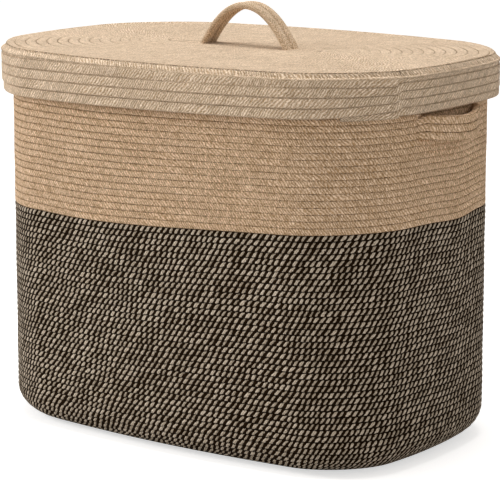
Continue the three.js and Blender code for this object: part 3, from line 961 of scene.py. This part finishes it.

# %% [markdown]
# ## Stitches and cotton
# Zigzag stitches sew each course to the next; here they give masks of their holes beside the groove and of
# the groove itself, where the braided finishes paint shade. Cotton is never of one colour: strands, patches
# and flecks each shift its brightness, and dark places are richer.

# %% Zigzag stitches
STITCH_UNEVENNESS = 3.0
STITCH_SPREAD = 0.5  # of the spacing, from the shortest hole to the longest
stitches, given, made = new_group(
    "groove stitches",
    [
        ("Spacing", FLOAT, 0.004),
        ("Reach", FLOAT, 0.052),
        ("Share", FLOAT, 0.45),
        ("Groove place", FLOAT, 0.18),
    ],
    [("Stitch hole", FLOAT), ("Groove", FLOAT)],
)
along, around = rope_length_and_round(stitches)
from_outside = calculate(stitches, "PINGPONG", around, 0.5)
past_groove = calculate(stitches, "SUBTRACT", from_outside, given["Groove place"])
groove = smooth_step(stitches, calculate(stitches, "ABSOLUTE", past_groove), start=given["Reach"], end=0.0)
uneven = scaled(stitches, noise_value(stitches, scale=150, detail=2), STITCH_UNEVENNESS)
beat = calculate(stitches, "ADD", calculate(stitches, "DIVIDE", along, given["Spacing"]), uneven)
own_shade = shade_of_strand(stitches, whole(stitches, beat))
own_share = calculate(stitches, "MULTIPLY_ADD", own_shade, STITCH_SPREAD, given["Share"])
own_share = calculate(stitches, "SUBTRACT", own_share, STITCH_SPREAD / 2)
hole = calculate(stitches, "LESS_THAN", calculate(stitches, "FRACT", beat), own_share)
# The stitch hole mask and the groove mask mark where the braided finishes paint shade
stitches.links.new(scaled(stitches, hole, groove), made["Stitch hole"])
stitches.links.new(groove, made["Groove"])
print("groove stitches:", len(stitches.nodes), "nodes")

# %% Soft, uneven cotton
DARKEST = 0.1
SHADE_RICHNESS = 0.4
COTTON_ROUGHNESS = 0.9
FLECK_ROUGHNESS = 0.12
cotton, given, made = new_group(
    "cotton",
    [
        ("Colour", COLOUR, (0.5, 0.4, 0.3, 1)),
        ("Strand shade", FLOAT, 0.5),
        ("Strand variation", FLOAT, 0.4),
        ("Patch variation", FLOAT, 0.5),
        ("Fleck variation", FLOAT, 1.5),
    ],
    [("Colour", COLOUR), ("Fuzz", FLOAT), ("Roughness", FLOAT)],
)
patches = noise_value(cotton, scale=22, detail=4, roughness=0.6)
flecks = noise_value(cotton, scale=470, detail=3, roughness=0.8)
fuzz = noise_value(cotton, scale=1300, detail=2, roughness=0.6)
own_shade = centred(cotton, given["Strand shade"])
brightness = calculate(cotton, "MULTIPLY_ADD", own_shade, given["Strand variation"], 1.0)
brightness = calculate(cotton, "MULTIPLY_ADD", patches, given["Patch variation"], brightness)
brightness = calculate(cotton, "MULTIPLY_ADD", flecks, given["Fleck variation"], brightness)
brightness = calculate(cotton, "MAXIMUM", brightness, DARKEST)
richness = calculate(cotton, "MULTIPLY_ADD", brightness, -SHADE_RICHNESS, 1 + SHADE_RICHNESS)
varied = {"Color": given["Colour"], "Value": brightness, "Saturation": richness}
varied = add_node(cotton, "ShaderNodeHueSaturation", varied).outputs[0]
cotton.links.new(varied, made["Colour"])
cotton.links.new(fuzz, made["Fuzz"])
roughness = calculate(cotton, "MULTIPLY_ADD", flecks, FLECK_ROUGHNESS, COTTON_ROUGHNESS)
cotton.links.new(roughness, made["Roughness"])
print("cotton:", len(cotton.nodes), "nodes")


# %% [markdown]
# ## The four finishes
# Each finish mixes its colours from these groups for one Principled shader, which adds a little sheen for
# the cotton's fuzz. The strands' height goes to a bump, because a pick is smaller than a face of the mesh.

# %% A rope material: colour and strands in, cotton out
FUZZ_HEIGHT = 0.12  # of the height of a strand
ROPE_GLOSS = 0.05
SHEEN_ROUGHNESS = 0.25


def add_group(tree, group, **values):
    inputs = {name.replace("_", " ").capitalize(): value for name, value in values.items()}
    return add_node(tree, "ShaderNodeGroup", inputs, node_tree=group).outputs


def new_material(name):
    material = bpy.data.materials.new(name)
    material.use_nodes = True
    return material, material.node_tree


def rope_material(name, tree, colour, strands, variation, bump_depth, sheen):
    soft = add_group(tree, cotton, colour=colour, strand_shade=strands["Strand shade"], **variation)
    relief = calculate(tree, "MULTIPLY_ADD", soft["Fuzz"], FUZZ_HEIGHT, strands["Height"])
    bump = add_node(tree, "ShaderNodeBump", {"Strength": 1.0, "Distance": bump_depth, "Height": relief})
    shader = tree.nodes["Principled BSDF"]
    shader.inputs["Sheen Weight"].default_value = sheen
    shader.inputs["Sheen Roughness"].default_value = SHEEN_ROUGHNESS
    shader.inputs["Specular IOR Level"].default_value = ROPE_GLOSS
    tree.links.new(soft["Colour"], shader.inputs["Base Color"])
    tree.links.new(soft["Roughness"], shader.inputs["Roughness"])
    tree.links.new(bump.outputs[0], shader.inputs["Normal"])
    print("material:", name, "with", len(tree.nodes), "nodes")


# %% Two-tone rope
COURSE_SHIFT = 0.36  # of a lozenge, from each course to the next
TAN_STRAND = (0.64, 0.555, 0.45, 1)
TAN_STRAND_SHADED = (0.38, 0.29, 0.20, 1)
DARK_STRAND = (0.015, 0.0065, 0.001, 1)
lozenges_round = round(wall_girth / LOZENGE_LENGTH) + COURSE_SHIFT
two_tone, tree = new_material("two_tone_rope")
strands = add_group(tree, twist, period=wall_girth / lozenges_round)
yarn = mix_colours(tree, strands["Yarn"], TAN_STRAND, TAN_STRAND_SHADED)
colour = mix_colours(tree, strands["Tan"], DARK_STRAND, yarn)
variation = {"strand_variation": 0.3, "patch_variation": 0.3, "fleck_variation": 2.0}
rope_material("two_tone_rope", tree, colour, strands, variation, bump_depth=0.0009, sheen=0.01)


# %% Braided ropes
# Painted shade: the gaps between a braid's picks and the grooves between courses are darkened towards this
# brown, standing in for the shade that falls in them
PAINTED_CREVICE_SHADE = (0.34, 0.17, 0.04, 1)
# Painted shade in the stitch holes
PAINTED_HOLE_SHADE = (0.05, 0.025, 0.01, 1)
PAINTED_GAP_SHADE_SHARE = 0.6  # the share of its shade that is mixed into the rope's colour
PAINTED_GROOVE_SHADE_SHARE = 0.3
PAINTED_HOLE_SHADE_SHARE = 0.85
STITCH_BITE = 0.022  # of the way round: a stitch takes hold beside the groove


def braided_material(name, base, plait, sewing, variation, bump_depth, sheen):
    material, tree = new_material(name)
    strands = add_group(tree, braid, **plait)
    sewn = add_group(tree, stitches, **sewing)
    # painted shade in the gaps between picks, then in the grooves between courses, then in the stitch holes
    colour = mix_colours(tree, scaled(tree, strands["Gap"], PAINTED_GAP_SHADE_SHARE), base, PAINTED_CREVICE_SHADE)
    colour = mix_colours(tree, scaled(tree, sewn["Groove"], PAINTED_GROOVE_SHADE_SHARE), colour, PAINTED_CREVICE_SHADE)
    colour = mix_colours(tree, scaled(tree, sewn["Stitch hole"], PAINTED_HOLE_SHADE_SHARE), colour, PAINTED_HOLE_SHADE)
    rope_material(name, tree, colour, strands, variation, bump_depth, sheen)
    return material


# %% Tan rope, the thicker lid rope and the strap's cord
TAN = (0.845, 0.614, 0.42, 1)
LID_TAN = (0.86, 0.69, 0.52, 1)
STRAP_TAN = (0.88, 0.70, 0.52, 1)
tan = braided_material(
    "tan_rope",
    TAN,
    plait={"pick": 0.0034, "columns": 4, "offset": 0.5, "slant": 1.7},
    sewing={"spacing": 0.0050, "groove_place": groove_place(TAN_SQUARENESS) - STITCH_BITE},
    variation={"strand_variation": 0.22, "patch_variation": 0.3, "fleck_variation": 2.4},
    bump_depth=0.0010,
    sheen=0.03,
)
lid_braid = braided_material(
    "lid_rope",
    LID_TAN,
    plait={"pick": 0.0035, "columns": 4, "offset": 0.5, "slant": -3.2},
    sewing={"spacing": 0.0050, "groove_place": groove_place(LID_SQUARENESS) - STITCH_BITE},
    variation={"strand_variation": 0.22, "patch_variation": 0.2, "fleck_variation": 2.1},
    bump_depth=0.0010,
    sheen=0.15,
)
strap_braid = braided_material(
    "handle_cord",
    STRAP_TAN,
    plait={"pick": 0.0030, "columns": 10, "offset": 1, "slant": 1.2},
    sewing={"spacing": 0.004, "groove_place": 0.5},
    variation={"strand_variation": 0.25, "patch_variation": 0.2, "fleck_variation": 1.2},
    bump_depth=0.0008,
    sheen=0.2,
)

# %% [markdown]
# ## Pieces on their bodies
# Each rope stands for the solid of its stretch, rides on its body and gets the finish listed with its slot.

# %% Pieces
PIECES = [
    (base, "base_coil", "basket", "two_tone_rope", two_tone),
    (lower_wall, "lower_wall_coil", "basket", "two_tone_rope", two_tone),
    (upper_wall, "upper_wall_coil", "basket", "tan_rope", tan),
    (hand_holds, "hand_hold_coil", "basket", "tan_rope", tan),
    (rim, "rim_coil", "basket", "tan_rope", tan),
    (lid_top, "lid_top_coil", "lid", "lid_rope", lid_braid),
    (lid_skirt, "lid_skirt_coil", "lid", "lid_rope", lid_braid),
    (strap_front, "lid_handle_front_cord", "lid", "handle_cord", strap_braid),
    (strap_back, "lid_handle_back_cord", "lid", "handle_cord", strap_braid),
]
for piece, node, body, slot, material in PIECES:
    piece.data.materials.append(material)
    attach(piece, body)
    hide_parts(node)
print(len(PIECES), "ropes in place of", len(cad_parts), "solids")

# %% [markdown]
# ## Studio
# The basket stands on a plain pale floor in front of plain white. The floor is bright enough to be white
# where nothing shades it, so only the soft contact shadow round the foot shows, as in the photograph.

# %% Floor
FLOOR_HALF_SIZE = 14
FLOOR_DROP = 0.0005  # below the basket, so that the two don't share a plane
FLOOR_COLOUR = (0.85, 0.85, 0.85, 1)
FLOOR_ROUGHNESS = 0.9
FLOOR_GLOW = 0.6  # it only shows to the camera, and lights nothing
floor_mesh = bpy.data.meshes.new("studio_floor")
floor_shape = bmesh.new()
bmesh.ops.create_grid(floor_shape, x_segments=1, y_segments=1, size=FLOOR_HALF_SIZE)
floor_shape.to_mesh(floor_mesh)
floor_shape.free()
floor = bpy.data.objects.new("studio_floor", floor_mesh)
floor.location.z = -FLOOR_DROP
bpy.context.scene.collection.objects.link(floor)
floor_material, tree = new_material("studio_floor")
seen = tree.nodes.new("ShaderNodeLightPath").outputs["Is Camera Ray"]
floor_shader = tree.nodes["Principled BSDF"]
floor_shader.inputs["Base Color"].default_value = FLOOR_COLOUR
floor_shader.inputs["Roughness"].default_value = FLOOR_ROUGHNESS
floor_shader.inputs["Specular IOR Level"].default_value = 0.0
floor_shader.inputs["Emission Color"].default_value = (1, 1, 1, 1)
tree.links.new(scaled(tree, seen, FLOOR_GLOW), floor_shader.inputs["Emission Strength"])
floor_mesh.materials.append(floor_material)
print("floor:", 2 * FLOOR_HALF_SIZE, "m square")

# %% White surroundings: plain white where they show, and dimmer and warmer as light
FILL_STRENGTH = 0.52
WARM_FILL = (1.0, 0.955, 0.90, 1)
world = bpy.data.worlds.new("white_studio")
world.use_nodes = True
bpy.context.scene.world = world
tree = world.node_tree
paths = tree.nodes.new("ShaderNodeLightPath").outputs
direct = calculate(tree, "MAXIMUM", paths["Is Camera Ray"], paths["Is Glossy Ray"])
strength = calculate(tree, "MULTIPLY_ADD", direct, 1 - FILL_STRENGTH, FILL_STRENGTH)
background = tree.nodes["Background"]
fill = mix_colours(tree, direct, WARM_FILL, (1, 1, 1, 1))
tree.links.new(fill, background.inputs["Color"])
tree.links.new(strength, background.inputs["Strength"])
bpy.context.scene.view_settings.view_transform = "Standard"


# %% Soft lights: the place, the size in metres and the power in watts
LIGHTS = [
    ("overhead_light", (0.0, 0.0, 2.6), 1.2, 34),
    ("front_left_light", (-2.6, -1.7, 1.7), 1.0, 46),
]
LIGHT_AIM = Vector((0, 0, 0.2))
for name, place, size, power in LIGHTS:
    light_data = bpy.data.lights.new(name, "AREA")
    light_data.size = size
    light_data.energy = power
    light = bpy.data.objects.new(name, light_data)
    light.location = place
    light.rotation_euler = (Vector(place) - LIGHT_AIM).to_track_quat("Z", "Y").to_euler()
    bpy.context.scene.collection.objects.link(light)
print(len(LIGHTS), "lights")
